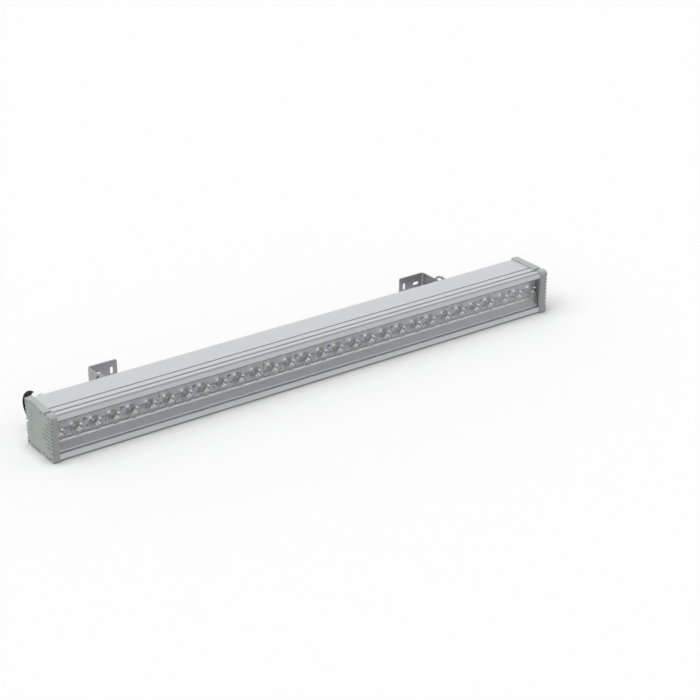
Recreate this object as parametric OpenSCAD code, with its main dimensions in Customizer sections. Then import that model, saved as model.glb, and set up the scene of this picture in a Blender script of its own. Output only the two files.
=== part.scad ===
// Outdoor wall washer light: an aluminium profile with a glass front, thirty lensed
// emitters on five boards, moulded end caps, a cable gland and two tilting wall brackets.
// Frame: X along the length, the light leaves towards -Y, the wall is at +Y, Z is up.
// The origin is at the bottom centre of the light with its brackets.

/* [Housing] */
// Number of light boards in the row
board_count = 5; // [4:1:8]
// Length that each board takes in the row
board_pitch = 201; // [150:0.1:260]
// Distance from the outermost emitters to the profile's ends
row_end = 5.95; // [5:0.05:12]
// Depth of the end caps, front to back
cap_d = 87; // [82:0.5:100]
// Height of the end caps
cap_h = 82; // [78:0.5:95]
// How far the end caps stand proud of the profile's front
proud_front = 2.5; // [0.5:0.1:4]
// How far the end caps stand proud of the profile's back
proud_back = 2; // [0.5:0.1:4]
// How far the end caps stand proud of the profile's top and underside
proud_side = 2.5; // [0.5:0.1:4]
// Wall of the aluminium profile
wall_t = 2.5; // [1.6:0.1:3]

/* [Light chamber] */
// Thickness of the lips that hold the glass
lip_t = 2.4; // [1.6:0.1:3.5]
// Height of the lower lip
lip_low_h = 9.3; // [8:0.1:10]
// Height of the upper lip
lip_high_h = 9.5; // [8.5:0.1:12]
// Thickness of the front glass
glass_t = 4; // [3:0.1:5]
// Depth from the profile's front to the back of the light boards
board_seat_d = 25.1; // [23:0.1:30]
// Height of the light boards
board_h = 37; // [30:0.5:39]
// Height of the reflecting floor at the glass
floor_low = 11; // [9.4:0.1:12]

/* [Light engine] */
// Emitters on each board
leds_per_board = 6; // [2:1:8]
// Clear distance between neighbouring boards
board_gap = 8; // [6:0.1:12]
// Thickness of the boards
board_t = 1.6; // [1:0.1:2]
// Width of the square emitter package
led_w = 3.5; // [3:0.1:5]
// Diameter of each lens at its front
lens_d = 24; // [18:0.5:28]
// Height of each lens above its board
lens_h = 12.5; // [9:0.1:14]
// Length of the power supply
driver_l = 300; // [200:1:420]
// Height of the power supply
driver_h = 28; // [22:0.5:32]

/* [End caps] */
// Thickness of the end caps along the length
cap_t = 12.3; // [10:0.1:16]
// Thickness of the gaskets between the caps and the profile
gasket_t = 1; // [0.6:0.1:2]
// Width of the grip grooves
rib_w = 2.6; // [1.5:0.1:3.2]
// Spacing of the grip grooves
rib_pitch = 6.6; // [6:0.1:7]
// Depth of the grip grooves
rib_d = 2.8; // [0.8:0.1:3]
// Diameter of the cap screws' heads
cap_screw_head_d = 3.8; // [3:0.1:4.4]

/* [Cable gland] */
// Distance of the gland's axis from the outer face of the left end cap
gland_in = 30.5; // [25:0.1:40]
// Drop from the top of the end caps to the gland's axis
gland_drop = 17.5; // [15:0.5:20]
// Diameter of the gland's thread
gland_thread_d = 15.6; // [12:0.1:16]
// Width across the flats of the gland's hexagons
gland_af = 20; // [18:0.1:20.5]
// Diameter of the mains cable
cable_d = 8.5; // [7:0.1:9.6]

/* [Brackets] */
// Distance of each bracket's outer face from its end of the light
bracket_in = 151.5; // [140:0.1:250]
// Thickness of the bracket sheet
sheet_t = 2.5; // [2:0.1:3]
// Width of the mounting plates along the length
plate_w = 53; // [52:0.5:60]
// Distance from the profile's back to the tilt axis
pivot_out = 30.5; // [28:0.5:36]
// Distance from the tilt axis to the wall
wall_reach = 56.5; // [50:0.5:70]
// Radius of the mounting plate's round ear
ear_r = 26.6; // [25.5:0.1:27]
// Distance from the tilt axis to the locking bolt
lock_r = 20; // [19.5:0.1:20.5]
// Height of the wall bracket
arm_h = 35; // [30:0.5:36]
// Width of the wall bracket's plate along the length
arm_w = 55; // [52:0.5:60]
// Length of the wall bracket's screw slots
wall_slot_l = 13; // [9:0.5:14]
// Width of the wall bracket's screw slots
wall_slot_w = 6; // [4.5:0.1:6.5]
// Distance from the wall bracket's outer face to its inner screw slot
wall_slot_near = 17.5; // [15:0.5:19]
// Distance between the wall bracket's two screw slots
wall_slot_gap = 27; // [25:0.5:29]
// How far the tilt goes each way
tilt_max = 80; // [60:1:84]

/* [Hidden] */
$fn = 48;
cut = 1;

// Lengths along X
board_end_play = 1;
led_pitch = board_pitch / leds_per_board;
profile_l = board_count * board_pitch - led_pitch + 2 * row_end;
row_l = profile_l - 2 * board_end_play;
board_l = board_pitch - board_gap;
lamp_l = profile_l + 2 * (cap_t + gasket_t);

// Depths along Y, with the wall as far behind the origin as the caps reach before it
prof_d = cap_d - proud_front - proud_back;
prof_h = cap_h - 2 * proud_side;
cap_front_y = -(cap_d - proud_back + pivot_out + wall_reach) / 2;
front_y = cap_front_y + proud_front;
back_y = front_y + prof_d;
mid_z = cap_h / 2;

// Outside of the profile, measured from its front and its underside
profile_corner_r = 3;
profile_edge_r = 0.8;
groove_w = 5.6;
groove_d = 3.4;
groove_in = 14.5;
line_w = 3.2;
line_d = 1.5;
line_in = 30;
cove_r = 6;
cove_back = 0.7;
cove_up = 4;

// Glass groove and seals
seal_t = 0.8;
glass_play = 0.2;
groove_land = 6;
glass_front = lip_t + seal_t;
glass_back = glass_front + glass_t + glass_play;
glass_low = groove_land + seal_t;
glass_high = prof_h - groove_land - seal_t;
glass_rib_t = 2.5;
glass_rib_drop = 4;

// Board wall with its two rails
board_wall_t = 3;
board_play = 0.2;
rail_t = 1.8;
rail_shelf = 2.3;
rail_grip = 2;
board_front = board_seat_d - board_t;
rail_front = board_front - board_play - rail_t;
led_raise = 0.8;
led_axis = mid_z - proud_side + led_raise;
board_low = led_axis - board_h / 2;
board_high = led_axis + board_h / 2;
floor_step = 1.8;
floor_high = board_low - floor_step;
roof_t = 2.5;
chamber_roof = prof_h - groove_d - roof_t;

// Wiring chamber, T-slot and screw channels
chamber_front = board_seat_d + board_wall_t;
slot_mouth = 5.4;
slot_lip_t = 2.2;
slot_high = 10;
slot_deep = 5;
slot_wall_t = 2;
slot_mid = mid_z - proud_side;
port_r = 1.5;
port_boss_r = 3.1;
port_edge = 3.5;
port_front = 4.5;
port_mid = chamber_front + port_r;
gland_land_t = 2.6;
gland_land_low = 8;
channel_rib_t = 2;
channel_rib_h = 4.5;
channel_gap = 2.6;
slot_box_front = prof_d - slot_lip_t - slot_deep - slot_wall_t;
channel_mid = (chamber_front + slot_box_front) / 2;

// Emitters and lenses
led_base_h = 0.7;
led_dome_share = 0.42;
lens_outline_shares = [[0.14, 0], [0.27, 0], [0.40, 0.34], [0.47, 0.66], [0.5, 0.8], [0.5, 1],
                       [0.34, 1], [0.16, 0.93], [0, 0.91], [0, 0.40], [0.10, 0.33]];
connector_w = 6;
connector_h = 6.5;
connector_d = 4;
connector_lift = 5.5;
connector_shift = 5;

// Power supply
driver_side = 5.6;
driver_w = slot_box_front - chamber_front - 2 * driver_side;
driver_hole_play = 0.4;
driver_tab_l = 10;
driver_tab_t = 2;
driver_corner_r = 2;
driver_foot = wall_t + channel_rib_h;
driver_screw_r = 1.25;
driver_screw_head_r = 2.8;
driver_screw_head_h = 2;
driver_screw_grip = 3.8;
lead_gap_x = board_pitch * (ceil((board_count + 1) / 2) - board_count / 2);
driver_clear = 100;
driver_x = lead_gap_x - driver_clear - driver_l / 2;
output_d = 3.4;
lead_hole_r = 2.4;
lead_low = 12;

// End caps: the outer face, the grip grooves and the moulded pockets
cap_corner_r = 3;
cap_front_corner_r = 6.5;
panel_d = 1.4;
panel_from = 32;
panel_back = 15;
panel_low = 16;
panel_high = 12.5;
panel_slope = 5;
rib_long = 30;
rib_mid = 17.5;
rib_short = 9;
rib_edge = 4;
rib_lengths = [rib_long, rib_long, rib_mid, rib_mid, rib_short];
rib_raise = 1.7;
foot_pitch = 7;
foot_back = 45;
foot_front = 14;
foot_l = 6.5;
cap_notch_w = 5.8;
cap_notch_d = 7;
slot_notch_w = 6;
slot_notch_d = 7;
pocket_wall = 3;
pocket_d = 7.5;
pocket_rib_t = 1.6;
lens_clear = 2;
cap_hole_r = 1.7;
cap_screw_r = 1.45;
cap_screw_sink = 0.4;
cap_screw_head_h = 1.6;
cap_screw_grip = 11;
head_play = 0.2;
gasket_inset = 0.5;
gasket_rim = 3;

// Cable gland
gland_x = -lamp_l / 2 + gland_in;
gland_z = cap_h - gland_drop;
gland_play = 0.1;
gland_seal_t = 1.5;
gland_seal_w = 3;
gland_hex_h = 5;
gland_collar_h = 3;
gland_nut_h = 9;
gland_lip_h = 8.5;
gland_lip_w = 2.6;
gland_nut_d = 21.5;
gland_wall = 2.2;
gland_bore = 1;
insert_h = 9;
hex_share = 2 / sqrt(3);
gland_root = gland_seal_t + wall_t + gland_land_t;
gland_stem = gland_hex_h + gland_collar_h + gland_nut_h / 2;
mouth_y = back_y + gland_seal_t + gland_hex_h + gland_collar_h + gland_nut_h + gland_lip_h;
cable_sides = 12;
inner_drop = 26;

// Free stretch of the mains cable, from the gland's mouth to its bare end
cable_points = [[-474.5, 26, 64.5], [-474.5, 35, 64.5], [-474.8, 43.5, 62.8], [-475.2, 51.5, 59],
                [-475.6, 58, 53], [-476, 62, 45.5], [-476.2, 62.8, 37], [-476.2, 60, 29],
                [-476, 54, 22.5], [-474.5, 46.5, 18.8], [-471, 39, 17.5], [-466, 32, 18],
                [-460, 25.5, 19.8], [-453.5, 19.5, 22.2], [-446, 14.5, 24.6], [-436, 11.7, 25.8],
                [-425, 11, 26], [-402, 11, 26], [-389, 11, 26], [-380, 11, 26]];

// Brackets, measured from the mounting plate's ear, the profile's back and mid height
slide_gap = 0.1;
strip_t = 3.2;
strip_play = 0.3;
strip_over = 6;
plate_low = 13;
plate_high = 36;
plate_corner_r = 3;
bolt_from = 15;
bolt_row = 27;
spare_row = 26;
slot_bolt_r = 2.5;
slot_hole_play = 0.25;
slot_head_r = 4.4;
slot_head_h = 3;
web_h = 26;
ear_gap = 0.2;
pivot_r = 3;
pivot_play = 0.05;
arc_play = 0.25;
arc_ease = 0.02;
head_r = 4.6;
bolt_head_h = 3.2;
hex_key = 4;
nut_af = 10;
nut_h = 5;
bolt_over = 1;
arm_corner_r = 3;
bend_r = 3;
arm_x = sheet_t + ear_gap;
pivot_y = pivot_out;
wall_y = pivot_out + wall_reach;
lock_y = pivot_out + lock_r;

// A rectangle whose corner radii run from front low, back low and back high to front high
module rounded(d, h, radii) {
    corners = [[0, 0, 0], [d, 0, 90], [d, h, 180], [0, h, 270]];
    difference() {
        square([d, h]);
        for (i = [0 : 3])
            translate([corners[i][0], corners[i][1]])
                rotate(corners[i][2])
                    difference() {
                        translate([-cut, -cut]) square(radii[i] + cut);
                        translate([radii[i], radii[i]]) circle(radii[i]);
                    }
    }
}

// A bar along X whose section is drawn in depth and height from the profile's front low edge
module bar(x, l) {
    translate([x, front_y, proud_side])
        rotate([90, 0, 90])
            linear_extrude(l) children();
}

// Places of the six screw channels in the profile's ends
ports = [[port_front, port_edge], [port_mid, port_edge], [prof_d - port_edge, port_edge],
         [prof_d - port_edge, prof_h - port_edge], [port_mid, prof_h - port_edge],
         [port_front, prof_h - port_edge]];

module light_recess() {
    polygon([[-cut, lip_low_h], [lip_t, lip_low_h], [lip_t, groove_land], [glass_back, groove_land],
             [glass_back, floor_low], [rail_front, floor_high], [board_seat_d, floor_high],
             [board_seat_d, chamber_roof], [glass_back + glass_rib_t, chamber_roof],
             [glass_back + glass_rib_t, chamber_roof - glass_rib_drop + roof_t / 2],
             [glass_back, chamber_roof - glass_rib_drop + roof_t / 2],
             [glass_back, prof_h - groove_land], [lip_t, prof_h - groove_land],
             [lip_t, prof_h - lip_high_h], [-cut, prof_h - lip_high_h]]);
}

module lower_chamber() {
    web_back = glass_back + glass_rib_t;
    rise = (floor_high - floor_low) / (rail_front - glass_back);
    polygon([[web_back, wall_t], [board_seat_d, wall_t], [board_seat_d, floor_high - wall_t],
             [rail_front, floor_high - wall_t],
             [web_back, floor_low - wall_t + rise * glass_rib_t]]);
}

// One board rail: a shelf with a lip that holds the board's edge; side is 1 for the lower rail
module rail(edge, side) {
    reach = rail_shelf + board_play;
    low = side > 0 ? edge - reach : edge + board_play;
    translate([rail_front, low]) square([board_seat_d - rail_front + cut, rail_shelf]);
    translate([rail_front, side > 0 ? low : edge - rail_grip])
        square([rail_t, rail_shelf + board_play + rail_grip]);
}

module profile_section() {
    difference() {
        union() {
            difference() {
                rounded(prof_d, prof_h,
                        [profile_edge_r, profile_corner_r, profile_corner_r, profile_edge_r]);
                light_recess();
                lower_chamber();
                translate([chamber_front, wall_t])
                    square([prof_d - wall_t - chamber_front, prof_h - 2 * wall_t]);
            }
            rail(board_low, 1);
            rail(board_high, -1);
            translate([slot_box_front,
                       slot_mid - slot_high / 2 - slot_wall_t])
                square([slot_deep + slot_wall_t, slot_high + 2 * slot_wall_t]);
            translate([prof_d - wall_t - gland_land_t,
                       slot_mid + slot_high / 2 + slot_wall_t + gland_land_low])
                square([gland_land_t + wall_t / 2,
                        prof_h - slot_mid - slot_high / 2 - slot_wall_t - gland_land_low - wall_t / 2]);
            for (i = [1 : 4])
                translate(ports[i]) circle(port_boss_r);
            for (side = [-1, 1])
                translate([channel_mid + side * (channel_gap + channel_rib_t) / 2 - channel_rib_t / 2,
                           wall_t / 2])
                    square([channel_rib_t, channel_rib_h + wall_t / 2]);
        }
        for (port = ports)
            translate(port) circle(port_r);
        translate([prof_d - slot_lip_t - slot_deep, slot_mid - slot_high / 2])
            square([slot_deep, slot_high]);
        translate([prof_d - slot_lip_t - cut, slot_mid - slot_mouth / 2])
            square([slot_lip_t + 2 * cut, slot_mouth]);
        translate([groove_in, prof_h - groove_d + groove_w / 2]) {
            circle(groove_w / 2);
            translate([-groove_w / 2, 0]) square([groove_w, groove_d]);
        }
        translate([line_in - line_w / 2, prof_h - line_d]) square([line_w, line_d + cut]);
        translate([cove_back, prof_h + cove_up]) circle(cove_r);
    }
}

module body_profile() {
    color("silver")
        difference() {
            bar(-profile_l / 2, profile_l) profile_section();
            translate([gland_x, back_y + cut, gland_z])
                rotate([90, 0, 0])
                    cylinder(r = gland_thread_d / 2 + gland_play, h = wall_t + gland_land_t + 2 * cut);
            translate([lead_gap_x, front_y + board_seat_d - cut, proud_side + led_axis - lead_low])
                rotate([-90, 0, 0])
                    cylinder(r = lead_hole_r, h = board_wall_t + 2 * cut);
        }
}

module glass_cover() {
    color("lightblue", 0.4)
        bar(-profile_l / 2, profile_l)
            translate([glass_front, glass_low]) square([glass_t, glass_high - glass_low]);
}

// A seal of L section: one leg in front of the glass, the other under or over its edge
module glass_seal(low, foot) {
    height = lip_low_h - groove_land - seal_t / 2;
    color("dimgray")
        bar(-profile_l / 2, profile_l)
            union() {
                translate([lip_t, low]) square([seal_t, height]);
                translate([lip_t, foot]) square([glass_t + seal_t, seal_t]);
            }
}

module glass_seal_bottom() {
    glass_seal(groove_land, groove_land);
}

module glass_seal_top() {
    height = lip_low_h - groove_land - seal_t / 2;
    glass_seal(prof_h - groove_land - height, prof_h - groove_land - seal_t);
}

// Grip groove that starts at the edge and ends round, in the outer face of a cap
module grip(l) {
    translate([-cut, -cut, -rib_w / 2]) cube([rib_d + cut, l + cut - rib_w / 2, rib_w]);
    translate([-cut, l - rib_w / 2, 0])
        rotate([0, 90, 0])
            cylinder(d = rib_w, h = rib_d + cut);
}

// All grooves of a cap whose outer face lies at X zero and whose front low corner is the origin
module cap_grips() {
    for (i = [-4 : 4]) {
        translate([0, 0, mid_z + rib_raise + i * rib_pitch]) grip(rib_lengths[abs(i)]);
        if (i != 0)
            translate([0, cap_d, mid_z + i * rib_pitch]) mirror([0, 1, 0]) grip(rib_edge);
    }
    for (i = [0 : 4])
        translate([0, foot_back + i * foot_pitch, 0]) rotate([90, 0, 0]) grip(foot_l);
    for (i = [0 : 1])
        translate([0, foot_front + i * foot_pitch, 0]) rotate([90, 0, 0]) grip(foot_l);
    for (i = [0 : 3])
        translate([0, foot_back + (i + 0.5) * foot_pitch, cap_h]) rotate([-90, 0, 0]) grip(rib_edge);
}

// The pockets that keep the moulding's walls even, open towards the wiring chamber, and
// the one in front of the board wall that the outermost lens reaches into
module cap_pockets() {
    low = proud_side + port_edge + port_boss_r;
    from = proud_front + chamber_front + pocket_wall;
    to = cap_d - slot_notch_d - pocket_wall;
    step = (to - from + pocket_rib_t) / 3;
    for (i = [0 : 2])
        translate([cap_t - pocket_d, from + i * step, low])
            cube([pocket_d + cut, step - pocket_rib_t, cap_h - 2 * low]);
    translate([cap_t - pocket_d, proud_front + glass_back + pocket_rib_t,
               proud_side + led_axis - lens_d / 2 - lens_clear])
        cube([pocket_d + cut, board_seat_d - glass_back - pocket_rib_t, lens_d + 2 * lens_clear]);
}

// The shallow panel of a cap's outer face, its front and back ends sloped
module cap_panel() {
    to = cap_d - panel_back;
    translate([0, 0, panel_low])
        linear_extrude(cap_h - panel_low - panel_high)
            polygon([[-cut, panel_from], [0, panel_from], [panel_d, panel_from + panel_slope],
                     [panel_d, to - panel_slope], [0, to], [-cut, to]]);
}

module end_cap() {
    difference() {
        rotate([90, 0, 90])
            linear_extrude(cap_t)
                rounded(cap_d, cap_h, [cap_corner_r, cap_corner_r, cap_corner_r, cap_front_corner_r]);
        cap_panel();
        cap_grips();
        cap_pockets();
        translate([-cut, proud_front + groove_in, cap_h - cap_notch_d + cap_notch_w / 2])
            rotate([0, 90, 0])
                cylinder(d = cap_notch_w, h = cap_t + 2 * cut);
        translate([-cut, proud_front + groove_in - cap_notch_w / 2,
                   cap_h - cap_notch_d + cap_notch_w / 2])
            cube([cap_t + 2 * cut, cap_notch_w, cap_notch_d]);
        translate([-cut, cap_d - slot_notch_d, mid_z - slot_notch_w / 2])
            cube([cap_t + 2 * cut, slot_notch_d + cut, slot_notch_w]);
        for (port = ports)
            translate([-cut, port[0] + proud_front, port[1] + proud_side])
                rotate([0, 90, 0]) {
                    cylinder(r = cap_hole_r, h = cap_t + 2 * cut);
                    cylinder(r = cap_screw_head_d / 2 + head_play, h = cut + cap_screw_sink
                             + cap_screw_head_h);
                }
    }
}

// A raised screw head with a cross recess, its shank along X
module cap_screw() {
    rotate([0, 90, 0])
        difference() {
            union() {
                cylinder(d = cap_screw_head_d, h = cap_screw_head_h);
                cylinder(r = cap_screw_r, h = cap_t - cap_screw_sink + gasket_t + cap_screw_grip);
            }
            for (turn = [0, 90])
                rotate(turn)
                    translate([-cap_screw_head_d / 3, -cap_screw_head_d / 12, -cut])
                        cube([cap_screw_head_d / 1.5, cap_screw_head_d / 6, cut + cap_screw_head_h / 2]);
        }
}

module cap_screws() {
    for (port = ports)
        translate([cap_screw_sink, port[0] + proud_front, port[1] + proud_side]) cap_screw();
}

// The gasket follows the profile's walls and is open at both chambers
module cap_gasket() {
    difference() {
        translate([gasket_inset, gasket_inset])
            rounded(prof_d - 2 * gasket_inset, prof_h - 2 * gasket_inset,
                    [profile_corner_r, profile_corner_r, profile_corner_r, profile_corner_r]);
        translate([glass_back, floor_low])
            square([rail_front - glass_back, prof_h - lip_high_h - floor_low]);
        translate([rail_front - cut, board_low]) square([board_seat_d - rail_front + cut,
                                                         board_high - board_low]);
        translate([chamber_front + gasket_rim, port_edge + port_boss_r])
            square([slot_box_front - gasket_rim - chamber_front,
                    prof_h - 2 * (port_edge + port_boss_r)]);
        for (port = ports)
            translate(port) circle(cap_hole_r);
        translate([prof_d - slot_lip_t - slot_deep, slot_mid - slot_notch_w / 2])
            square([slot_lip_t + slot_deep, slot_notch_w]);
        translate([groove_in - cap_notch_w / 2, prof_h - groove_d])
            square([cap_notch_w, groove_d]);
        translate([cove_back, prof_h + cove_up]) circle(cove_r + gasket_inset);
    }
}

module end_cap_left() {
    color([0.66, 0.70, 0.68])
        translate([-lamp_l / 2, cap_front_y, 0]) end_cap();
}

module end_cap_right() {
    color([0.66, 0.70, 0.68])
        mirror([1, 0, 0]) translate([-lamp_l / 2, cap_front_y, 0]) end_cap();
}

module cap_screws_left() {
    color("gainsboro")
        translate([-lamp_l / 2, cap_front_y, 0]) cap_screws();
}

module cap_screws_right() {
    color("gainsboro")
        mirror([1, 0, 0]) translate([-lamp_l / 2, cap_front_y, 0]) cap_screws();
}

module cap_gasket_left() {
    color("dimgray")
        bar(-lamp_l / 2 + cap_t, gasket_t) cap_gasket();
}

module cap_gasket_right() {
    color("dimgray")
        bar(lamp_l / 2 - cap_t - gasket_t, gasket_t) cap_gasket();
}

// Centre of a board along X, and places of its emitters
function board_x(i) = (i - 1 - (board_count - 1) / 2) * board_pitch;
function led_x(i, k) = board_x(i) + (k - (leds_per_board - 1) / 2) * led_pitch;

// The outermost boards end where the profile does
module light_board(i) {
    from = max(board_x(i) - board_l / 2, -row_l / 2);
    to = min(board_x(i) + board_l / 2, row_l / 2);
    color("lightslategray")
        bar(from, to - from)
            translate([board_front, board_low]) square([board_t, board_h]);
}

// Puts its children at each emitter of a board, with +Z pointing out of the light
module at_leds(i) {
    for (k = [0 : leds_per_board - 1])
        translate([led_x(i, k), front_y + board_front, proud_side + led_axis])
            rotate([90, 0, 0]) children();
}

module emitters(i) {
    dome_r = led_dome_share * led_w;
    color("khaki")
        at_leds(i) {
            translate([-led_w / 2, -led_w / 2, 0]) cube([led_w, led_w, led_base_h]);
            translate([0, 0, led_base_h / 2])
                cylinder(r = dome_r, h = led_base_h);
            intersection() {
                translate([0, 0, led_base_h]) sphere(dome_r);
                translate([-led_w / 2, -led_w / 2, led_base_h]) cube(led_w);
            }
        }
}

module lenses(i) {
    color("white", 0.5)
        at_leds(i)
            rotate_extrude()
                polygon([for (p = lens_outline_shares) [p[0] * lens_d, p[1] * lens_h]]);
}

// Two wire connectors on each board, beside its outer emitters
module board_connectors() {
    color("white")
        for (i = [1 : board_count], side = [-1, 1])
            translate([board_x(i) + side * (leds_per_board / 2 - 1) * led_pitch
                       + connector_shift - connector_w / 2,
                       front_y + board_front - connector_d,
                       proud_side + board_low + rail_grip + connector_lift])
                difference() {
                    cube([connector_w, connector_d, connector_h]);
                    for (hole = [1, 3])
                        translate([hole * connector_w / 4 - connector_w / 12, -cut, connector_h / 3])
                            cube([connector_w / 6, cut + connector_d / 2, connector_h / 3]);
                }
}

module driver() {
    color("whitesmoke")
        translate([driver_x, 0, 0])
            union() {
                bar(-driver_l / 2 + driver_tab_l, driver_l - 2 * driver_tab_l)
                    translate([channel_mid - driver_w / 2, driver_foot])
                        rounded(driver_w, driver_h, [for (i = [0 : 3]) driver_corner_r]);
                difference() {
                    bar(-driver_l / 2, driver_l)
                        translate([channel_mid - driver_w / 3, driver_foot])
                            square([driver_w / 1.5, driver_tab_t]);
                    driver_ends(driver_screw_r + driver_hole_play, driver_foot - cut, driver_tab_t + 2 * cut);
                }
            }
}

// Upright cylinders at the two screw places of the power supply
module driver_ends(r, from, h) {
    for (side = [-1, 1])
        translate([side * (driver_l - driver_tab_l) / 2, front_y + channel_mid, proud_side + from])
            cylinder(r = r, h = h);
}

module driver_screws() {
    color("gainsboro")
        translate([driver_x, 0, 0]) {
            driver_ends(driver_screw_head_r, driver_foot + driver_tab_t, driver_screw_head_h);
            driver_ends(driver_screw_r, driver_foot - driver_screw_grip,
                        driver_screw_grip + driver_tab_t + driver_screw_head_h);
        }
}

// Sweep of a round tube along points: a ring square to the path at each of them
function unit(v) = v / norm(v);
function tangent(p, i) = unit(p[min(i + 1, len(p) - 1)] - p[max(i - 1, 0)]);
function side_of(t) = unit(cross(t, abs(t[2]) < 0.9 ? [0, 0, 1] : [1, 0, 0]));
function carry(v, t) = unit(v - (v * t) * t);
function frames(p, i = 0, side = undef) =
    i >= len(p) ? [] :
    let (t = tangent(p, i), s = side == undef ? side_of(t) : carry(side, t))
    concat([[s, cross(t, s)]], frames(p, i + 1, s));

module tube(points, d, sides) {
    ends = len(points) - 1;
    axes = frames(points);
    ring = [for (i = [0 : ends], k = [0 : sides - 1])
            points[i] + d / 2 * (cos(360 * k / sides) * axes[i][0] + sin(360 * k / sides) * axes[i][1])];
    walls = [for (i = [0 : ends - 1], k = [0 : sides - 1], half = [0, 1])
             let (a = i * sides + k, b = i * sides + (k + 1) % sides)
             half == 0 ? [b + sides, b, a] : [a + sides, b + sides, a]];
    first = [for (k = [0 : sides - 1]) k];
    last = [for (k = [0 : sides - 1]) ends * sides + sides - 1 - k];
    polyhedron(ring, concat([first], walls, [last]));
}

// A smooth path through route points, straight in its first and last stretch
function bow(a, b, c, d, t) =
    0.5 * (2 * b + (c - a) * t + (2 * a - 5 * b + 4 * c - d) * t * t
           + (3 * b - a - 3 * c + d) * t * t * t);
function smooth(p, n) =
    concat([p[0]],
           [for (i = [1 : len(p) - 3], k = [0 : n - 1])
            bow(p[i - 1], p[i], p[i + 1], p[i + 2], k / n)],
           [p[len(p) - 2], p[len(p) - 1]]);

module mains_cable() {
    color([0.12, 0.12, 0.13])
        tube(smooth(cable_points, 3), cable_d, cable_sides);
}

// The cable's length inside the gland and the housing, up to the power supply
module supply_lead() {
    in_y = front_y + channel_mid;
    low_z = proud_side + driver_foot + driver_h / 2;
    end_x = driver_x - driver_l / 2 + driver_tab_l;
    turn = inner_drop;
    points = [[gland_x, mouth_y, gland_z], [gland_x, back_y, gland_z],
              [gland_x, in_y + turn, gland_z], [gland_x + turn / 8, in_y + turn / 2, gland_z - turn / 16],
              [gland_x + turn / 2, in_y + turn / 8, gland_z - turn / 4],
              [gland_x + turn, in_y, gland_z - turn / 2],
              [gland_x + 2 * turn, in_y, gland_z - turn],
              [gland_x + 3 * turn, in_y, low_z + turn / 8],
              [gland_x + 4 * turn, in_y, low_z], [end_x - cable_d, in_y, low_z], [end_x, in_y, low_z]];
    color([0.12, 0.12, 0.13])
        tube(smooth(points, 3), cable_d, cable_sides);
}

// Lead from the power supply through the board wall to the gap between two boards
module output_lead() {
    hole_y = front_y + board_seat_d;
    mid_y = front_y + channel_mid;
    low_z = proud_side + driver_foot + driver_h / 2;
    hole_z = proud_side + led_axis - lead_low;
    from_x = driver_x + driver_l / 2 - driver_tab_l;
    run = lead_gap_x - from_x;
    points = [[from_x, mid_y, low_z], [from_x + run / 8, mid_y, low_z],
              [from_x + run / 2, (mid_y + hole_y) / 2, (low_z + hole_z) / 2],
              [lead_gap_x - run / 6, hole_y + run / 5, hole_z],
              [lead_gap_x, hole_y + run / 9, hole_z], [lead_gap_x, hole_y - board_t, hole_z]];
    color("tan")
        tube(smooth(points, 4), output_d, cable_sides);
}

// Pieces of the gland stand on the profile's back, their axis along +Y
module on_gland(out) {
    translate([gland_x, back_y + out, gland_z])
        rotate([-90, 0, 0]) children();
}

module gland_seal() {
    color("dimgray")
        on_gland(0)
            difference() {
                cylinder(r = gland_thread_d / 2 + gland_seal_w, h = gland_seal_t);
                translate([0, 0, -cut])
                    cylinder(r = gland_thread_d / 2 + gland_play, h = gland_seal_t + 2 * cut);
            }
}

module gland_body() {
    bore_r = cable_d / 2 + gland_bore / 2;
    color("white")
        on_gland(gland_seal_t)
            difference() {
                union() {
                    translate([0, 0, -gland_root])
                        cylinder(d = gland_thread_d, h = gland_root + cut);
                    cylinder(d = gland_af * hex_share, h = gland_hex_h, $fn = 6);
                    cylinder(d = gland_af - gland_wall, h = gland_stem);
                }
                translate([0, 0, -gland_root - cut])
                    cylinder(r = bore_r, h = gland_root + gland_stem + 2 * cut);
                translate([0, 0, gland_stem - insert_h])
                    cylinder(r = bore_r + gland_wall - gland_bore / 2, h = insert_h + cut);
            }
}

// The rubber insert grips the cable inside the gland
module gland_insert() {
    bore_r = cable_d / 2 + gland_bore / 2;
    color("dimgray")
        on_gland(gland_seal_t + gland_stem - insert_h)
            difference() {
                cylinder(r = bore_r + gland_wall - gland_bore / 2 - gland_play, h = insert_h);
                translate([0, 0, -cut]) cylinder(r = cable_d / 2 + gland_play, h = insert_h + 2 * cut);
            }
}

module gland_cap_nut() {
    thread_d = gland_af - gland_wall;
    lip_d = gland_nut_d - gland_lip_w;
    color("white")
        on_gland(gland_seal_t + gland_hex_h + gland_collar_h)
            difference() {
                union() {
                    cylinder(d = gland_nut_d, h = gland_nut_h);
                    translate([0, 0, gland_nut_h])
                        cylinder(d1 = gland_nut_d, d2 = lip_d - gland_lip_w, h = gland_lip_h);
                }
                translate([0, 0, -cut])
                    cylinder(d = thread_d + 2 * gland_play, h = gland_nut_h / 2 + cut);
                translate([0, 0, -cut])
                    cylinder(r = cable_d / 2 + gland_bore / 2,
                             h = gland_nut_h + gland_lip_h + 2 * cut);
                translate([0, 0, gland_nut_h / 2])
                    cylinder(d1 = thread_d, d2 = cable_d + gland_bore, h = gland_nut_h / 4);
            }
}

// The two brackets: the right one is the left one turned half round
module on_left() {
    translate([-lamp_l / 2 + bracket_in, back_y, mid_z]) children();
}

module on_right() {
    translate([lamp_l / 2 - bracket_in, back_y, mid_z])
        rotate([0, 180, 0]) children();
}

// A sheet square to X, whose outline is drawn in Y and Z
module sheet(x) {
    translate([x, 0, 0])
        rotate([90, 0, 90])
            linear_extrude(sheet_t) children();
}

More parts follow.
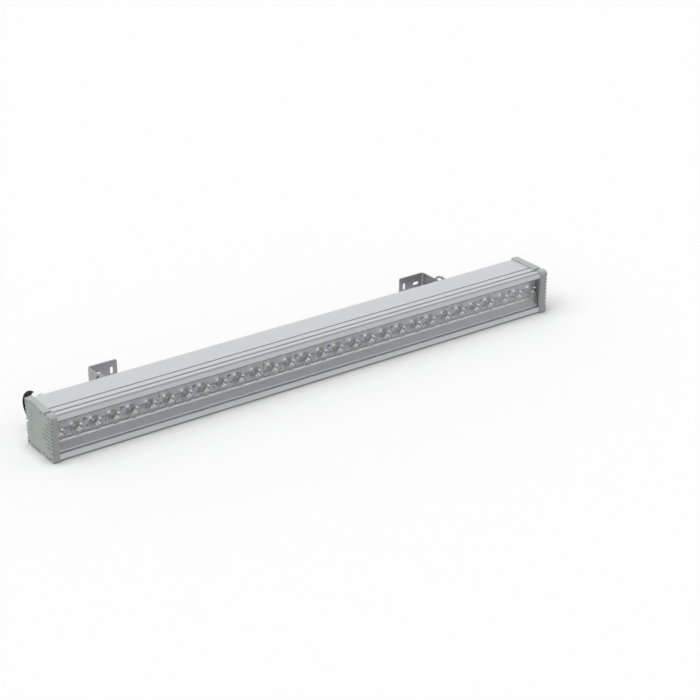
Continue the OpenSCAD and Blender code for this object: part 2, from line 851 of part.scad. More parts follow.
// The curved slot for the locking bolt, centred on the tilt axis
module arc_slot() {
    slot_r = pivot_r - pivot_play + arc_play;
    reach = lock_r + slot_r;
    difference() {
        circle(reach);
        circle(lock_r - slot_r);
        for (side = [-1, 1])
            rotate(side * tilt_max)
                translate([-2 * reach, side > 0 ? 0 : -4 * reach]) square(4 * reach);
    }
    for (side = [-1, 1])
        rotate(side * tilt_max) translate([lock_r, 0]) circle(slot_r - arc_ease);
}

module mount_plate() {
    difference() {
        union() {
            sheet(0)
                difference() {
                    union() {
                        translate([pivot_y, 0]) circle(ear_r);
                        translate([slide_gap, -web_h / 2]) square([pivot_y, web_h]);
                    }
                    translate([pivot_y, 0]) circle(pivot_r);
                    translate([pivot_y, 0]) arc_slot();
                }
            translate([0, slide_gap + sheet_t, 0])
                rotate([90, 0, 0])
                    linear_extrude(sheet_t)
                        translate([0, -plate_low])
                            rounded(plate_w, plate_low + plate_high,
                                    [0, plate_corner_r, plate_corner_r, plate_corner_r]);
            translate([sheet_t, slide_gap + sheet_t, -web_h / 2]) bend_fillet(web_h);
        }
        translate([0, slide_gap, -web_h / 2 - cut]) bend_round(web_h + cut);
        for (row = [0, spare_row], hole = [0, 1])
            translate([bolt_from + hole * bolt_row, slide_gap + sheet_t + cut, row])
                rotate([90, 0, 0])
                    cylinder(r = slot_bolt_r + slot_hole_play, h = sheet_t + 2 * cut);
    }
}

// The metal inside a bend whose inner corner is the origin, with the sheets along +X and +Y
module bend_fillet(h) {
    difference() {
        cube([bend_r, bend_r, h]);
        translate([bend_r, bend_r, -cut]) cylinder(r = bend_r, h = h + 2 * cut);
    }
}

// What is cut from the square outer corner of a bend, the corner at the origin
module bend_round(h) {
    r = sheet_t + bend_r;
    difference() {
        translate([-cut, -cut, 0]) cube([r + cut, r + cut, h]);
        translate([r, r, -cut]) cylinder(r = r, h = h + 2 * cut);
    }
}

module slot_nuts() {
    translate([-strip_over, -slot_lip_t - slide_gap - strip_t, -slot_high / 2 + strip_play])
        cube([plate_w + 2 * strip_over, strip_t, slot_high - 2 * strip_play]);
}

// A round head with a hexagon socket and a shank that runs the other way, towards +Z
module socket_bolt(r, head, head_l, l) {
    difference() {
        union() {
            translate([0, 0, -head_l]) cylinder(r = head, h = head_l);
            cylinder(r = r, h = l);
        }
        translate([0, 0, -head_l - cut])
            cylinder(d = hex_key * hex_share, h = cut + head_l / 2, $fn = 6);
    }
}

// The bolts end in the strip, which takes their thread
module slot_bolts() {
    out = slide_gap + sheet_t;
    for (hole = [0, 1])
        translate([bolt_from + hole * bolt_row, out, 0])
            rotate([90, 0, 0])
                socket_bolt(slot_bolt_r, slot_head_r, slot_head_h, out + slot_lip_t + slide_gap);
}

// Sheet outline in Y and Z of the bracket's ear, round at the tilt axis
module arm_outline() {
    translate([pivot_y, 0]) circle(arm_h / 2);
    translate([pivot_y, -arm_h / 2]) square([wall_reach, arm_h]);
}

module wall_bracket() {
    translate([arm_x, 0, 0])
        difference() {
            union() {
                sheet(0) arm_outline();
                translate([0, wall_y, 0])
                    rotate([90, 0, 0])
                        linear_extrude(sheet_t)
                            translate([0, -arm_h / 2])
                                rounded(arm_w, arm_h, [0, arm_corner_r, arm_corner_r, 0]);
                translate([sheet_t, wall_y - sheet_t, -arm_h / 2])
                    mirror([0, 1, 0]) bend_fillet(arm_h);
            }
            translate([0, wall_y, -arm_h / 2 - cut])
                mirror([0, 1, 0]) bend_round(arm_h + 2 * cut);
            for (y = [pivot_y, lock_y])
                translate([-cut, y, 0])
                    rotate([0, 90, 0]) cylinder(r = pivot_r, h = sheet_t + 2 * cut);
            translate([wall_slot_near, wall_y, 0]) wall_slot(0);
            translate([wall_slot_near + wall_slot_gap, wall_y, 0]) wall_slot(90);
        }
}

module wall_slot(turn) {
    span = wall_slot_l - wall_slot_w;
    rotate([90, 0, 0])
        rotate(turn)
            translate([0, 0, -cut]) {
                for (side = [-1, 1])
                    translate([side * span / 2, 0, 0])
                        cylinder(d = wall_slot_w, h = sheet_t + 2 * cut);
                translate([-span / 2, -wall_slot_w / 2, 0])
                    cube([span, wall_slot_w, sheet_t + 2 * cut]);
            }
}

module pivot_bolt() {
    translate([0, pivot_y, 0])
        rotate([0, 90, 0])
            socket_bolt(pivot_r - pivot_play, head_r, bolt_head_h, arm_x + sheet_t + nut_h + bolt_over);
}

// The locking bolt turns with the wall bracket, so its head clears the ear a little
module lock_bolt() {
    translate([-slide_gap, lock_y, 0])
        rotate([0, 90, 0])
            socket_bolt(pivot_r - pivot_play, head_r, bolt_head_h,
                        slide_gap + arm_x + sheet_t + nut_h + bolt_over);
}

module nut(y, gap) {
    translate([arm_x + sheet_t + gap, y, 0])
        rotate([0, 90, 0])
            difference() {
                cylinder(d = nut_af * hex_share, h = nut_h, $fn = 6);
                translate([0, 0, -cut]) cylinder(r = pivot_r, h = nut_h + 2 * cut);
            }
}

module mount_plate_left() {
    color("darkgray") on_left() mount_plate();
}

module mount_plate_right() {
    color("darkgray") on_right() mount_plate();
}

module slot_nuts_left() {
    color("gray") on_left() slot_nuts();
}

module slot_nuts_right() {
    color("gray") on_right() slot_nuts();
}

module slot_bolts_left() {
    color("gainsboro") on_left() slot_bolts();
}

module slot_bolts_right() {
    color("gainsboro") on_right() slot_bolts();
}

module wall_bracket_left() {
    color("darkgray") on_left() wall_bracket();
}

module wall_bracket_right() {
    color("darkgray") on_right() wall_bracket();
}

module pivot_bolt_left() {
    color("gainsboro") on_left() pivot_bolt();
}

module pivot_bolt_right() {
    color("gainsboro") on_right() pivot_bolt();
}

module pivot_nut_left() {
    color("gainsboro") on_left() nut(pivot_y, slide_gap);
}

module pivot_nut_right() {
    color("gainsboro") on_right() nut(pivot_y, slide_gap);
}

module lock_bolt_left() {
    color("gainsboro") on_left() lock_bolt();
}

module lock_bolt_right() {
    color("gainsboro") on_right() lock_bolt();
}

module lock_nut_left() {
    color("gainsboro") on_left() nut(lock_y, 0);
}

module lock_nut_right() {
    color("gainsboro") on_right() nut(lock_y, 0);
}

body_profile();
glass_cover();
glass_seal_top();
glass_seal_bottom();
end_cap_left();
end_cap_right();
cap_gasket_left();
cap_gasket_right();
cap_screws_left();
cap_screws_right();
light_board(1);  // light_board_1
light_board(2);  // light_board_2
light_board(3);  // light_board_3
light_board(4);  // light_board_4
light_board(5);  // light_board_5
emitters(1);  // emitters_1
emitters(2);  // emitters_2
emitters(3);  // emitters_3
emitters(4);  // emitters_4
emitters(5);  // emitters_5
lenses(1);  // lenses_1
lenses(2);  // lenses_2
lenses(3);  // lenses_3
lenses(4);  // lenses_4
lenses(5);  // lenses_5
board_connectors();
driver();
driver_screws();
supply_lead();
output_lead();
gland_body();
gland_cap_nut();
gland_insert();
gland_seal();
mains_cable();
mount_plate_left();
mount_plate_right();
slot_nuts_left();
slot_nuts_right();
slot_bolts_left();
slot_bolts_right();
wall_bracket_left();
wall_bracket_right();
pivot_bolt_left();
pivot_bolt_right();
pivot_nut_left();
pivot_nut_right();
lock_bolt_left();
lock_bolt_right();
lock_nut_left();
lock_nut_right();
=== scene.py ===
from math import cos, pi, radians

import bmesh
import bpy
from mathutils import Matrix, Vector


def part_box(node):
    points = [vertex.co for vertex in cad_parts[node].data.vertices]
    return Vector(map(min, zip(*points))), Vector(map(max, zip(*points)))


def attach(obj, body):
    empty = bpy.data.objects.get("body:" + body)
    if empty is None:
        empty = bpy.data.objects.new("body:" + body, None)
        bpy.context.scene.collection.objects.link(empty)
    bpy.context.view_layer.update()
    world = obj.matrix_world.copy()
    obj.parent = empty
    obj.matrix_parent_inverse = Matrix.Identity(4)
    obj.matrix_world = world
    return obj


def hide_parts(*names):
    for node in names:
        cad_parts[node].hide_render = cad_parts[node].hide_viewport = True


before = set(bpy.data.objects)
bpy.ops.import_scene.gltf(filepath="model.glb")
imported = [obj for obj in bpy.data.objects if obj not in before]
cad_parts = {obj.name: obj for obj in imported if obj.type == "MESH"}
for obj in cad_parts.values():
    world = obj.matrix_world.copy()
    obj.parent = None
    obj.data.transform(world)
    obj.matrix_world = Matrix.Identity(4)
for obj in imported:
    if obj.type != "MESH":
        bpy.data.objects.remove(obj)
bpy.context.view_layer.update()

# Camera of the photograph, fitted to the light's corners: it stands in front of the light's left
# end and looks down at it, with a long lens.
camera_data = bpy.data.cameras.new("camera")
camera_data.lens = 94.17
camera_data.sensor_width = 36.0
camera = bpy.data.objects.new("camera", camera_data)
camera.location = (-1.590, -2.388, 1.362)
camera.rotation_euler = (radians(65.025), 0, radians(-35.658))
bpy.context.scene.collection.objects.link(camera)
bpy.context.scene.camera = camera

# Mains cable: a soft rubber-sheathed lead of 8.5 mm, gripped by the gland. From there it bows back
# and down, turns forwards under the gland and runs along the back of the light, 8 mm clear of it.
# Its end is bare.
CABLE_D = 0.0085
CABLE_SIDES = 24
STEPS_BETWEEN_POINTS = 5
CABLE_POINTS = [
    (-0.4745, 0.026, 0.0645), (-0.4745, 0.035, 0.0645), (-0.4748, 0.0435, 0.0628),
    (-0.4752, 0.0515, 0.059), (-0.4756, 0.058, 0.053), (-0.476, 0.062, 0.0455),
    (-0.4762, 0.0628, 0.037), (-0.4762, 0.060, 0.029), (-0.476, 0.054, 0.0225),
    (-0.4745, 0.0465, 0.0188), (-0.471, 0.039, 0.0175), (-0.466, 0.032, 0.018),
    (-0.460, 0.0255, 0.0198), (-0.4535, 0.0195, 0.0222), (-0.446, 0.0145, 0.0246),
    (-0.436, 0.0117, 0.0258), (-0.425, 0.011, 0.026), (-0.402, 0.011, 0.026),
    (-0.389, 0.011, 0.026), (-0.380, 0.011, 0.026),
]


class Amount:
    """A socket that takes part in plain sums, so that a material's maths reads as it is."""

    def __init__(self, wiring, socket):
        self.wiring = wiring
        self.socket = socket

    def _sum(self, operation, first, second=0.0):
        return self.wiring.node("Math", {"operation": operation}, {0: first, 1: second})

    def __add__(self, other):
        return self._sum("ADD", self, other)

    __radd__ = __add__

    def __sub__(self, other):
        return self._sum("SUBTRACT", self, other)

    def __rsub__(self, other):
        return self._sum("SUBTRACT", other, self)

    def __mul__(self, other):
        return self._sum("MULTIPLY", self, other)

    __rmul__ = __mul__

    def __truediv__(self, other):
        return self._sum("DIVIDE", self, other)

    def __lt__(self, other):
        return self._sum("LESS_THAN", self, other)

    def __gt__(self, other):
        return self._sum("GREATER_THAN", self, other)

    def within(self, low, high):
        return (self > low) * (self < high)

    def whole(self):
        return self._sum("FLOOR", self)

    def part(self):
        return self._sum("FRACT", self)

    def size(self):
        return self._sum("ABSOLUTE", self)

    def root(self):
        return self._sum("SQRT", self)


class Wiring:
    """A node tree; put() sets or links a socket and node() adds any node."""

    def __init__(self, tree):
        self.tree = tree

    def put(self, socket, value):
        if isinstance(value, Amount):
            self.tree.links.new(value.socket, socket)
        elif socket.type == "RGBA" and len(value) == 3:
            socket.default_value = (*value, 1.0)
        else:
            socket.default_value = value

    def node(self, kind, settings=None, sockets=None, output=0):
        made = self.tree.nodes.new("ShaderNode" + kind)
        for name, value in (settings or {}).items():
            setattr(made, name, value)
        for name, value in (sockets or {}).items():
            self.put(made.inputs[name], value)
        return Amount(self, made.outputs[output])

    def split(self, vector):
        """The three parts of a place: along the light, deep behind its front, and high."""
        return [self.node("SeparateXYZ", sockets={0: vector}, output=i) for i in range(3)]

    def mix(self, factor, first, second):
        """A colour between two others."""
        return self.node("Mix", {"data_type": "RGBA"}, {0: factor, 6: first, 7: second}, output=2)

    def either(self, first, *others):
        """The largest of some masks."""
        for other in others:
            first = self.node("Math", {"operation": "MAXIMUM"}, {0: first, 1: other})
        return first


class Finish(Wiring):
    """A material of a Principled surface; set() sets its sockets by name."""

    def __init__(self, name, **sockets):
        self.material = bpy.data.materials.new(name)
        self.material.use_nodes = True
        super().__init__(self.material.node_tree)
        self.surface = self.tree.nodes["Principled BSDF"]
        self.set(**sockets)

    def set(self, **sockets):
        for name, value in sockets.items():
            self.put(self.surface.inputs[name.replace("_", " ")], value)

    def place(self):
        """The Object coordinates, in metres in the light's own frame."""
        return self.node("TexCoord", output="Object")

    def stretched(self, scale):
        return self.node("Mapping", sockets={"Vector": self.place(), "Scale": scale})

    def noise(self, vector, scale, detail=2.0):
        return self.node("TexNoise", sockets={"Vector": vector, "Scale": scale, "Detail": detail})

    def bump(self, height, depth):
        return self.node("Bump", sockets={"Height": height, "Strength": 1.0, "Distance": depth})

    def rub(self, scale, roughness, spread, depth):
        """A fine grain over the surface, in its roughness and its relief."""
        grain = self.noise(self.place(), scale, 3.0)
        self.set(Roughness=roughness - spread / 2 + spread * grain, Normal=self.bump(grain, depth))

    def wear(self, *names):
        """Puts the material on CAD nodes."""
        for name in names:
            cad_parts[name].data.materials.clear()
            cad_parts[name].data.materials.append(self.material)


def linear(red, green, blue):
    """Linear colour of an sRGB one written as 0 to 255."""
    return tuple(
        c / 12.92 if c <= 0.04045 else ((c + 0.055) / 1.055) ** 2.4
        for c in (red / 255, green / 255, blue / 255)
    )


def piece(name, mesh, finish):
    """A new object at the origin, made from a bmesh."""
    data = bpy.data.meshes.new(name)
    mesh.to_mesh(data)
    mesh.free()
    made = bpy.data.objects.new(name, data)
    bpy.context.scene.collection.objects.link(made)
    made.data.materials.append(finish.material)
    return made


def bow(a, b, c, d, t):
    """A point between b and c on the smooth line through the four."""
    return 0.5 * (2 * b + (c - a) * t + (2 * a - 5 * b + 4 * c - d) * t * t
                  + (3 * b - a - 3 * c + d) * t * t * t)


def smooth(points, count):
    """The route made smooth, straight in its first and last stretch, as the CAD tube is."""
    points = [Vector(p) for p in points]
    line = [points[0]]
    for i in range(1, len(points) - 2):
        line += [bow(*points[i - 1:i + 3], k / count) for k in range(count)]
    return line + points[-2:]


def sweep(name, line, diameter, sides, finish):
    """A round tube along a line, closed at both ends, with a UV map: U round it, V along it."""
    mesh = bmesh.new()
    uv = mesh.loops.layers.uv.new("along")
    ways = [(line[min(i + 1, len(line) - 1)] - line[max(i - 1, 0)]).normalized()
            for i in range(len(line))]
    side = ways[0].cross(Vector((0, 0, 1))).normalized()
    rings = []
    length = [0.0]
    for i, (point, way) in enumerate(zip(line, ways)):
        side = (side - side.dot(way) * way).normalized()
        turn = Matrix.Translation(point) @ Matrix((side, way.cross(side), way)).transposed().to_4x4()
        ring = bmesh.ops.create_circle(mesh, segments=sides, radius=diameter / 2, matrix=turn)
        rings.append(ring["verts"])
        if i:
            length.append(length[-1] + (point - line[i - 1]).length)
    for i in range(len(rings) - 1):
        for k in range(sides):
            n = (k + 1) % sides
            face = mesh.faces.new((rings[i][k], rings[i][n], rings[i + 1][n], rings[i + 1][k]))
            face.smooth = True
            corners = ((k, i), (k + 1, i), (k + 1, i + 1), (k, i + 1))
            for loop, (u, v) in zip(face.loops, corners):
                loop[uv].uv = (u / sides, length[v] / (pi * diameter))
    mesh.faces.new(list(reversed(rings[0])))
    mesh.faces.new(rings[-1])
    return piece(name, mesh, finish)


sheath = Finish("rubber_sheath", Base_Color=linear(14, 14, 15), Specular_IOR_Level=0.25)
sheath.rub(scale=900.0, roughness=0.6, spread=0.2, depth=0.00004)
cable_line = smooth(CABLE_POINTS, STEPS_BETWEEN_POINTS)
cable = sweep("cable_sheath", cable_line, CABLE_D, CABLE_SIDES, sheath)
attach(cable, "lamp")
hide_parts("mains_cable")
cable_length = sum((b - a).length for a, b in zip(cable_line, cable_line[1:]))

# Extruded body: one bar of aluminium, satin anodised, with the fine draw lines that the die leaves
# along its whole length. Painted shade darkens the cove and the grooves of its top, a painted
# highlight lightens the rail under the boards, and painted light makes its recess dull and pale,
# with a faint painted glow along the floor's front edge.
profile_low, profile_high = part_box("body_profile")
glass_low, glass_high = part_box("glass_cover")
board_low, board_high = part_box("light_board_1")
EDGE = 0.0003
COVE_DEPTH = 0.006
GROOVES_DEPTH = 0.04
RAIL_DEPTH = 0.0025
RAIL_HEIGHT = 0.0022
FLOOR_EDGE_DEPTH = (glass_high[1] + 0.0001, glass_high[1] + 0.001)
FLOOR_EDGE_HEIGHT = (0.0120, 0.0137)
FLOOR_EDGE_PAINTED_GLOW = (0.26, 0.262, 0.265)
SATIN = linear(206, 208, 210), linear(222, 224, 225)
# Painted shade for the cove and the grooves, a painted highlight for the rail, and the recess painted
# paler as painted light.
COVE_PAINTED_SHADE = linear(182, 186, 189)
GROOVES_PAINTED_SHADE = linear(186, 193, 196)
RAIL_PAINTED_HIGHLIGHT = linear(252, 252, 252)
RECESS_PAINTED_LIGHT = linear(220, 221, 223), linear(234, 235, 237)
aluminium = Finish("satin_aluminium", Emission_Strength=1.0)
draw = aluminium.noise(aluminium.stretched((1.5, 900, 900)), 1.0, 4.0)
cloud = aluminium.noise(aluminium.stretched((3, 9, 9)), 1.0)
along, deep, high = aluminium.split(aluminium.place())
beside_top = high.within(glass_high[2] + EDGE, profile_high[2] - EDGE)
# Where painted shade darkens the cove and the grooves of the top.
cove_shade_mask = beside_top * deep.within(profile_low[1] + EDGE, profile_low[1] + COVE_DEPTH)
groove_shade_mask = beside_top * deep.within(profile_low[1] + COVE_DEPTH, profile_low[1] + GROOVES_DEPTH)
# The recess is painted pale and dull as painted light in its shade.
recess_light_mask = (deep.within(glass_high[1] + EDGE, board_high[1] + EDGE)
             * high.within(glass_low[2] - EDGE, glass_high[2] + EDGE))
# Where a painted highlight lightens the rail under the boards.
rail_highlight_mask = recess_light_mask * (deep > board_low[1] - RAIL_DEPTH) * (high < board_low[2] + RAIL_HEIGHT)
recess_light_mask = recess_light_mask - rail_highlight_mask
# A faint painted glow, an emission, along the recess floor's front edge.
edge_glow_mask = deep.within(*FLOOR_EDGE_DEPTH) * high.within(*FLOOR_EDGE_HEIGHT)
draw_lines_and_painted_light = aluminium.mix(draw, *SATIN)
draw_lines_and_painted_light = aluminium.mix(cove_shade_mask, draw_lines_and_painted_light, COVE_PAINTED_SHADE)
draw_lines_and_painted_light = aluminium.mix(groove_shade_mask, draw_lines_and_painted_light, GROOVES_PAINTED_SHADE)
draw_lines_and_painted_light = aluminium.mix(rail_highlight_mask, draw_lines_and_painted_light, RAIL_PAINTED_HIGHLIGHT)
aluminium.set(
    Base_Color=aluminium.mix(recess_light_mask, draw_lines_and_painted_light, aluminium.mix(draw, *RECESS_PAINTED_LIGHT)),
    Metallic=0.85 * (1 - recess_light_mask),
    Roughness=0.34 + 0.10 * draw + 0.05 * cloud,
    Normal=aluminium.bump(draw, 0.00002),
    Emission_Color=aluminium.mix(edge_glow_mask, (0, 0, 0), FLOOR_EDGE_PAINTED_GLOW),
)
aluminium.wear("body_profile")

# Light boards: aluminium-backed strips with a pale lacquer, slid between the body's two rails. The
# blue print has an arc and small marks at each lens, a solder pad in every second gap, and a row of
# dashes in the others. A band along each board's foot is darkened by painted shadow.
lenses_low, lenses_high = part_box("lenses_1")
LEDS_PER_BOARD = 6
LED_PITCH = 0.0335
ARC_RADIUS = 0.0082
ARC_HALF_WIDTH = 0.0005
ARC_BELOW = -0.003
ARC_BESIDE = 0.006
MARKS_IN_EVERY_GAP = [(0.0176, 0.0002, 0.0016, 0.0014)]
PADS = [(0.0188, 0.0060, 0.0066, 0.0032), (0.0168, 0.0047, 0.0022, 0.0036)]
MARKS_BELOW_PADS = [(0.0222, -0.0066, 0.0026, 0.0036), (0.0258, -0.0066, 0.0022, 0.0030)]
DASH_ROW = [(0.0208, -0.0004, 0.0096, 0.0036)]
MARKS_BELOW_DASHES = [(0.0156, -0.0096, 0.0026, 0.0014), (0.0216, -0.0066, 0.0016, 0.0052)]
DASHES_PER_METRE = 550
DASH_SHARE = 0.62
TOP_LINE_HEIGHT = (board_high[2] - 0.0052, board_high[2] - 0.0022)
FOOT_SHADOW_HEIGHT = (board_low[2] + 0.002, board_low[2] + 0.0036)
LACQUER = linear(218, 219, 221), linear(246, 248, 250)
BLUE = linear(106, 154, 204)
PAD = linear(84, 134, 182)
TOP_LINE = linear(158, 174, 194)
# Painted shadow along the board's foot, just above the rail.
FOOT_PAINTED_SHADOW = linear(146, 147, 150)
first_led = (lenses_low[0] + lenses_high[0]) / 2 - (LEDS_PER_BOARD - 1) / 2 * LED_PITCH
led_high = (lenses_low[2] + lenses_high[2]) / 2
board = Finish("printed_board", Roughness=0.5)
along, deep, high = board.split(board.place())
count = (along - first_led) / LED_PITCH
step = count.part() * LED_PITCH
beside = ((count + 0.5).part() - 0.5) * LED_PITCH
rise = high - led_high
odd = (count.whole() / 2).part() > 0.25


def marks(blocks):
    """Printed blocks: each centre behind an emitter's axis and above it, each width and height."""
    return board.either(*[((step - x).size() < width / 2) * ((rise - z).size() < height / 2)
                          for x, z, width, height in blocks])


ring = ((beside * beside + rise * rise).root() - ARC_RADIUS).size() < ARC_HALF_WIDTH
arc = ring * board.either(rise < ARC_BELOW, beside > ARC_BESIDE)
dashes = marks(DASH_ROW) * ((step * DASHES_PER_METRE).part() < DASH_SHARE)
blue = board.either(
    arc,
    marks(MARKS_IN_EVERY_GAP),
    odd * marks(MARKS_BELOW_PADS),
    (1 - odd) * board.either(dashes, marks(MARKS_BELOW_DASHES)),
)
pad = odd * marks(PADS)
grain = board.noise(board.place(), 260.0, 4.0)
print_and_painted_shadow = board.mix(grain, *LACQUER)
print_and_painted_shadow = board.mix(blue, print_and_painted_shadow, BLUE)
print_and_painted_shadow = board.mix(pad, print_and_painted_shadow, PAD)
print_and_painted_shadow = board.mix(high.within(*TOP_LINE_HEIGHT), print_and_painted_shadow, TOP_LINE)
# Painted shadow along the board's foot.
print_and_painted_shadow = board.mix(high.within(*FOOT_SHADOW_HEIGHT), print_and_painted_shadow, FOOT_PAINTED_SHADOW)
board.set(Base_Color=print_and_painted_shadow, Normal=board.bump(board.either(blue, pad), 0.00005))
board.wear(*[f"light_board_{i}" for i in range(1, 6)])

# Emitters: small square packages of pale ceramic, soldered to the boards. Each has a dome of yellow
# phosphor, with the fine speckle of its filling.
CHIP_HEIGHT = 0.00065
CERAMIC = linear(232, 230, 190)
PHOSPHOR = linear(238, 232, 84), linear(252, 248, 120)
phosphor = Finish("yellow_emitter", Roughness=0.4)
along, deep, high = phosphor.split(phosphor.place())
on_dome = deep < board_low[1] - CHIP_HEIGHT
speckled = phosphor.mix(phosphor.noise(phosphor.place(), 2500.0), *PHOSPHOR)
phosphor.set(Base_Color=phosphor.mix(on_dome, CERAMIC, speckled))
phosphor.wear(*[f"emitters_{i}" for i in range(1, 6)])

# Lenses: moulded collimators of clear acrylic, one over each emitter. The material paints highlights
# in patches on each cone's wall, painted shade in other patches and along its lowest edge, and a
# painted grey veil low on each front.
WALL_HEIGHT = 0.0095
TOWARD_LIGHT = (-0.66, 0.75)
# Painted highlights: patches where an emission glint is painted onto the cone's wall.
GLINT_PATCHES = [(0.0072, 0.0, 0.0036, 0.0036), (-0.0090, 0.0016, 0.0022, 0.0010),
          (-0.0086, -0.0018, 0.0018, 0.0009), (-0.0049, 0.0082, 0.0014, 0.0016)]
GLINT_SHARE = 0.62
# Painted shade: darker patches on the wall, and the lens darkened along its lowest edge.
SHADE_PATCHES = [(-0.0092, -0.0001, 0.0022, 0.0009), (-0.0076, 0.0061, 0.0015, 0.0014)]
PATCH_RISE = 1.6
RIM_BELOW = -0.0102
RIM_SHARE = 0.35
# A grey veil of painted light and shade low on each lens front.
VEIL_BELOW = -0.0050
VEIL_SHARE = 0.7
SHEEN_INSIDE = 0.06
acrylic = Finish("clear_acrylic")
along, deep, high = acrylic.split(acrylic.place())
beside = (((along - first_led) / LED_PITCH + 0.5).part() - 0.5) * LED_PITCH
rise = high - led_high
toward = TOWARD_LIGHT[0] * beside + TOWARD_LIGHT[1] * rise
across = TOWARD_LIGHT[1] * beside - TOWARD_LIGHT[0] * rise
on_wall = deep > board_low[1] - WALL_HEIGHT


def patches(places):
    """Soft patches on the wall where highlight and shade are painted: each centre towards the light and
    across it, and each half size.
    """
    found = []
    for u, v, half_u, half_v in places:
        du, dv = (toward - u) / half_u, (across - v) / half_v
        found.append(PATCH_RISE * (1 - du * du - dv * dv))
    return on_wall * acrylic.either(*found)


def blend(finish, factor, first, second):
    """A shader between two others."""
    return finish.node("MixShader", sockets={0: factor, 1: first, 2: second})


def cover(finish, shader):
    """Another shader in the place of the plain surface."""
    finish.put(finish.tree.nodes["Material Output"].inputs["Surface"], shader)


clear = acrylic.node("BsdfTransparent", sockets={"Color": (1.0, 1.0, 1.0)})
smoked = acrylic.node("BsdfTransparent", sockets={"Color": (0.78, 0.80, 0.82)})
# A painted dimming, a painted glint and a painted grey veil stand in for the light and shade in a real
# lens.
painted_dimming = acrylic.node("BsdfTransparent", sockets={"Color": (0.46, 0.49, 0.54)})
painted_glint = acrylic.node("Emission", sockets={"Color": (0.9, 0.91, 0.92), "Strength": 1.0})
painted_veil = acrylic.node("BsdfDiffuse", sockets={"Color": (0.56, 0.565, 0.57)})
sheen = acrylic.node("BsdfGlossy", sockets={"Color": (1.0, 1.0, 1.0), "Roughness": 0.03})
edge_on = acrylic.node("LayerWeight", sockets={"Blend": 0.35}, output="Facing")
inside = acrylic.node("NewGeometry", output="Backfacing")
mirrored = acrylic.node("Fresnel", sockets={"IOR": 1.49}) * (1 - inside) + SHEEN_INSIDE * inside
lens = blend(acrylic, edge_on, clear, smoked)
lens = blend(acrylic, acrylic.either(patches(SHADE_PATCHES), (rise < RIM_BELOW) * RIM_SHARE), lens, painted_dimming)
lens = blend(acrylic, patches(GLINT_PATCHES) * GLINT_SHARE, lens, painted_glint)
lens = blend(acrylic, (1 - on_wall) * (rise < VEIL_BELOW) * VEIL_SHARE, lens, painted_veil)
cover(acrylic, blend(acrylic, mirrored, lens, sheen))
acrylic.wear(*[f"lenses_{i}" for i in range(1, 6)])

# Connectors, power supply and cable gland: moulded in white nylon. The supply is screwed into the
# wiring chamber, and the gland into the back wall, with its cap nut round the cable.
nylon = Finish("white_nylon", Base_Color=linear(243, 243, 242))
nylon.rub(scale=1200.0, roughness=0.42, spread=0.15, depth=0.00002)
nylon.wear("board_connectors", "gland_body", "gland_cap_nut", "driver")

# Leads inside the housing: two round sheathed ones. The black mains lead runs from the gland to the
# power supply, and a grey one from there to the boards.
sheath.wear("supply_lead")
lead = Finish("lead_sheath", Base_Color=linear(180, 176, 168))
lead.rub(scale=900.0, roughness=0.5, spread=0.2, depth=0.00003)
lead.wear("output_lead")

# Front glass: a clear toughened strip in the groove between the body's two lips, held there by the
# seals.
glass = Finish("clear_glass")
clear = glass.node("BsdfTransparent", sockets={"Color": (1.0, 1.0, 1.0)})
sheen = glass.node("BsdfGlossy", sockets={"Color": (1.0, 1.0, 1.0), "Roughness": 0.02})
cover(glass, blend(glass, glass.node("Fresnel", sockets={"IOR": 1.3}), clear, sheen))
glass.wear("glass_cover")

# Seals: pale grey silicone strips of L section along the glass, and darker rubber in the cap
# gaskets and the gland, all with the dull fine skin of moulded rubber.
silicone = Finish("grey_silicone", Base_Color=linear(222, 224, 224))
silicone.rub(scale=700.0, roughness=0.55, spread=0.15, depth=0.00003)
silicone.wear("glass_seal_top", "glass_seal_bottom")
rubber = Finish("grey_rubber", Base_Color=linear(176, 180, 180))
rubber.rub(scale=800.0, roughness=0.65, spread=0.2, depth=0.00004)
rubber.wear("cap_gasket_left", "cap_gasket_right", "gland_seal", "gland_insert")

# End caps: grey-green mouldings with grip grooves, each fixed by six cross-recessed zinc screws.
# The colour clouds a little where the melt flowed, and the skin is finely spark-eroded. The power
# supply's screws are of the same zinc.
moulding = Finish("grey_green_moulding")
flow = moulding.noise(moulding.stretched((40, 25, 25)), 1.0, 3.0)
moulding.set(Base_Color=moulding.mix(flow, linear(173, 182, 178), linear(180, 189, 185)))
moulding.rub(scale=1400.0, roughness=0.48, spread=0.2, depth=0.00003)
moulding.wear("end_cap_left", "end_cap_right")
zinc = Finish("dull_zinc", Base_Color=linear(120, 122, 122), Metallic=1.0)
zinc.rub(scale=1500.0, roughness=0.38, spread=0.2, depth=0.00002)
zinc.wear("cap_screws_left", "cap_screws_right", "driver_screws")

# Mounting plates and wall brackets: cut and folded from steel sheet with an upright brushed finish.
# Each plate is bolted to the T-slot, and its wall bracket turns on it.
steel = Finish("brushed_sheet", Metallic=1.0)
brush = steel.noise(steel.stretched((900, 900, 12)), 1.0, 4.0)
steel.set(Base_Color=steel.mix(brush, linear(172, 171, 174), linear(188, 187, 190)),
          Roughness=0.32 + 0.14 * brush, Normal=steel.bump(brush, 0.00002))
steel.wear("mount_plate_left", "mount_plate_right", "wall_bracket_left", "wall_bracket_right")

# Bolts and nuts: bright turned steel. On each side, bolts draw a nut strip up in the T-slot, and a
# pivot bolt and a locking bolt hold the wall bracket.
bolt = Finish("bright_bolt", Base_Color=linear(205, 204, 200), Metallic=1.0)
bolt.rub(scale=1300.0, roughness=0.3, spread=0.16, depth=0.00002)
bolt.wear(*[f"{part}_{side}" for side in ("left", "right")
            for part in ("slot_nuts", "slot_bolts", "pivot_bolt", "pivot_nut", "lock_bolt", "lock_nut")])

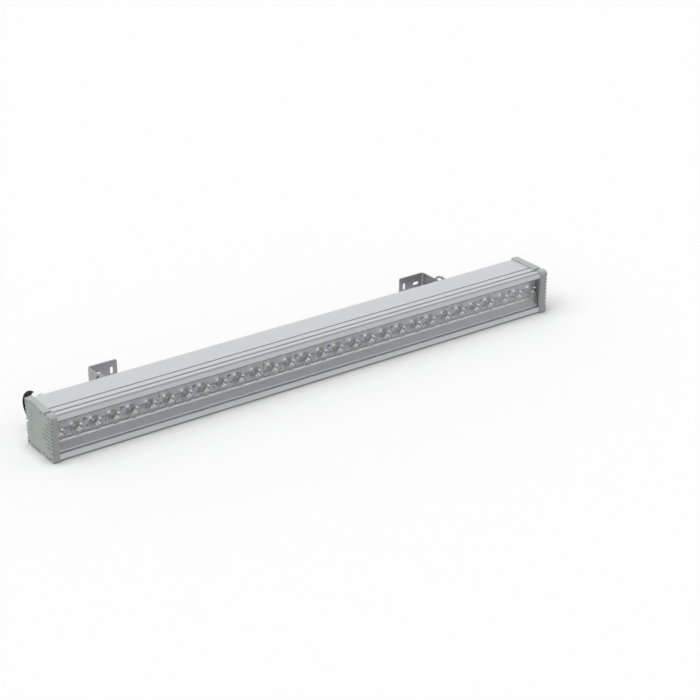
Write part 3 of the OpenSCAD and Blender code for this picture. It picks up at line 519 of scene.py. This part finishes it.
# Studio: a white floor that keeps the light's soft shadow, with a painted contact shade where the
# light touches it, under a plain pale sky that is greyer overhead. A lamp in the sky shows only in
# glossy surfaces, and one broad sun stands high on the left, a little behind the light.
SOFTBOX_FROM = Vector((-0.6, -0.5, 0.65)).normalized()
SOFTBOX_RIM = cos(radians(15))
SOFTBOX_FULL = cos(radians(10))
SOFTBOX_LEVEL = 8.0
GREYER_FROM = 0.45
GREYEST_FROM = 0.95
GREYEST_LEVEL = 0.45
LEVEL_ON_LIGHT = 0.67
FLOOR_HALF = 12.0
CONTACT_REACH = 0.022
FLOOR_SEEN = (0.3, 0.3, 0.3), (0.99, 0.99, 0.99)
FLOOR_ON_LIGHT = (0.33, 0.33, 0.33)
FLOOR_IN_MIRRORS = (0.42, 0.42, 0.42)
SUN_FROM = Vector((-0.6, 0.12, 1.0))


def rays(wiring):
    """Whether a ray comes straight from the camera, off a gloss, and off a gloss or through glass."""
    seen, glossy, passed = [wiring.node("LightPath", output=name) for name in
                            ("Is Camera Ray", "Is Glossy Ray", "Is Transmission Ray")]
    return seen, glossy, wiring.either(glossy, passed)


def ramp(value, start, end, low, high):
    """A soft step from low at start to high at end."""
    return sky.node("MapRange", {"interpolation_type": "SMOOTHSTEP"},
                    {"Value": value, "From Min": start, "From Max": end, "To Min": low, "To Max": high})


world = bpy.data.worlds.new("sky")
bpy.context.scene.world = world
world.use_nodes = True
sky = Wiring(world.node_tree)
seen, glossy, mirrored = rays(sky)
direction = sky.node("TexCoord", output="Generated")
facing = sky.node("VectorMath", {"operation": "DOT_PRODUCT"}, {0: direction, 1: SOFTBOX_FROM},
                  output="Value")
softbox = ramp(facing, SOFTBOX_RIM, SOFTBOX_FULL, 0.0, SOFTBOX_LEVEL)
overhead = ramp(sky.split(direction)[2], GREYER_FROM, GREYEST_FROM, 1.0, GREYEST_LEVEL)
reflected = mirrored * (overhead + softbox * glossy) + (1 - mirrored) * LEVEL_ON_LIGHT
backdrop = world.node_tree.nodes["Background"]
sky.put(backdrop.inputs["Color"], (1.0, 1.0, 1.0))
sky.put(backdrop.inputs["Strength"], seen + (1 - seen) * reflected)

paper = Finish("white_floor", Roughness=1.0, Specular_IOR_Level=0.0, Emission_Strength=1.0)
seen, glossy, mirrored = rays(paper)
# Painted contact shade: the floor is painted darker where little of the sky reaches it.
nearness = paper.node("AmbientOcclusion", {"samples": 8}, {"Distance": CONTACT_REACH}, output="AO")
paper.set(
    Base_Color=paper.mix(seen, FLOOR_ON_LIGHT, paper.mix(nearness, *FLOOR_SEEN)),
    Emission_Color=paper.mix(mirrored, (0, 0, 0), FLOOR_IN_MIRRORS),
)
floor_mesh = bmesh.new()
bmesh.ops.create_grid(floor_mesh, x_segments=1, y_segments=1, size=FLOOR_HALF)
floor = piece("floor", floor_mesh, paper)

sun_data = bpy.data.lights.new("key_light", "SUN")
sun_data.energy = 1.20
sun_data.angle = radians(54)
sun = bpy.data.objects.new("key_light", sun_data)
sun.rotation_euler = SUN_FROM.to_track_quat("Z", "Y").to_euler()
bpy.context.scene.collection.objects.link(sun)

bpy.context.scene.view_settings.view_transform = "Standard"
